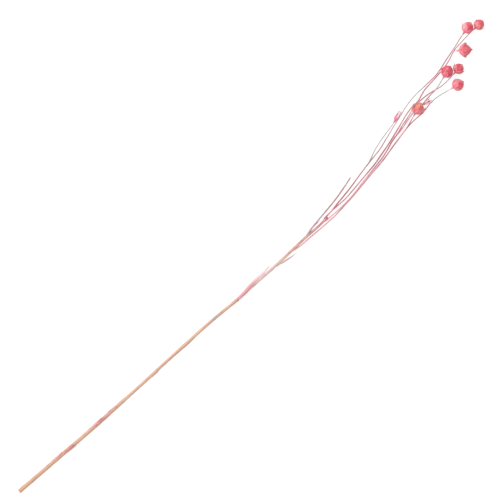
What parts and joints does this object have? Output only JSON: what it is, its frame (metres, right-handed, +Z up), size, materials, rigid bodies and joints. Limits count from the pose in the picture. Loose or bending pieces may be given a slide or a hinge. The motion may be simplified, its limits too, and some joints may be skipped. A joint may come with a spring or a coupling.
{
  "type": "dried flax stem",
  "caption": "Dried, pink-dyed flax stem for decoration: a straight straw stalk that forks into fine branches with round seed capsules and small buds, lying flat.",
  "frame": {"origin": "middle of the stem's footprint, on the surface that it lies on", "axes": "+X along the stem from the cut end to the capsules, +Z up from the surface, +Y to the side"},
  "size_m": [0.4758, 0.033, 0.0122],
  "materials": {
    "straw_stem": "matte",
    "dyed_stalk": "matte",
    "coral_capsule": "satin",
    "orange_capsule": "satin",
    "sepal": "matte",
    "bud": "matte",
    "bud_sepal": "matte",
    "dried_leaf": "matte",
    "bract": "matte"
  },
  "bodies": {
    "root": {"main_stem": "straw_stem", "broken_twig": "dyed_stalk", "upper_branch": "dyed_stalk", "bud_branch": "dyed_stalk", "middle_branch": "dyed_stalk", "lower_branch": "dyed_stalk", "side_branch": "dyed_stalk", "pedicel_3": "dyed_stalk", "pedicel_4": "dyed_stalk", "pedicel_7": "dyed_stalk", "bud_pedicel": "dyed_stalk", "capsule_1": "coral_capsule", "capsule_2": "coral_capsule", "capsule_3": "coral_capsule", "capsule_4": "coral_capsule", "capsule_5": "coral_capsule", "capsule_6": "coral_capsule", "capsule_7": "orange_capsule", "calyx_1": "sepal", "calyx_2": "sepal", "calyx_3": "sepal", "calyx_4": "sepal", "calyx_5": "sepal", "calyx_6": "sepal", "calyx_7": "sepal", "bud_1": "bud", "bud_2": "bud", "bud_calyx_1": "bud_sepal", "bud_calyx_2": "bud_sepal", "leaf_1": "dried_leaf", "leaf_2": "dried_leaf", "leaf_3": "dried_leaf", "leaf_4": "dried_leaf", "leaf_5": "dried_leaf", "leaf_6": "dried_leaf", "leaf_7": "dried_leaf", "bract_1": "bract", "bract_2": "bract", "bract_3": "bract"}
  },
  "joints": []
}
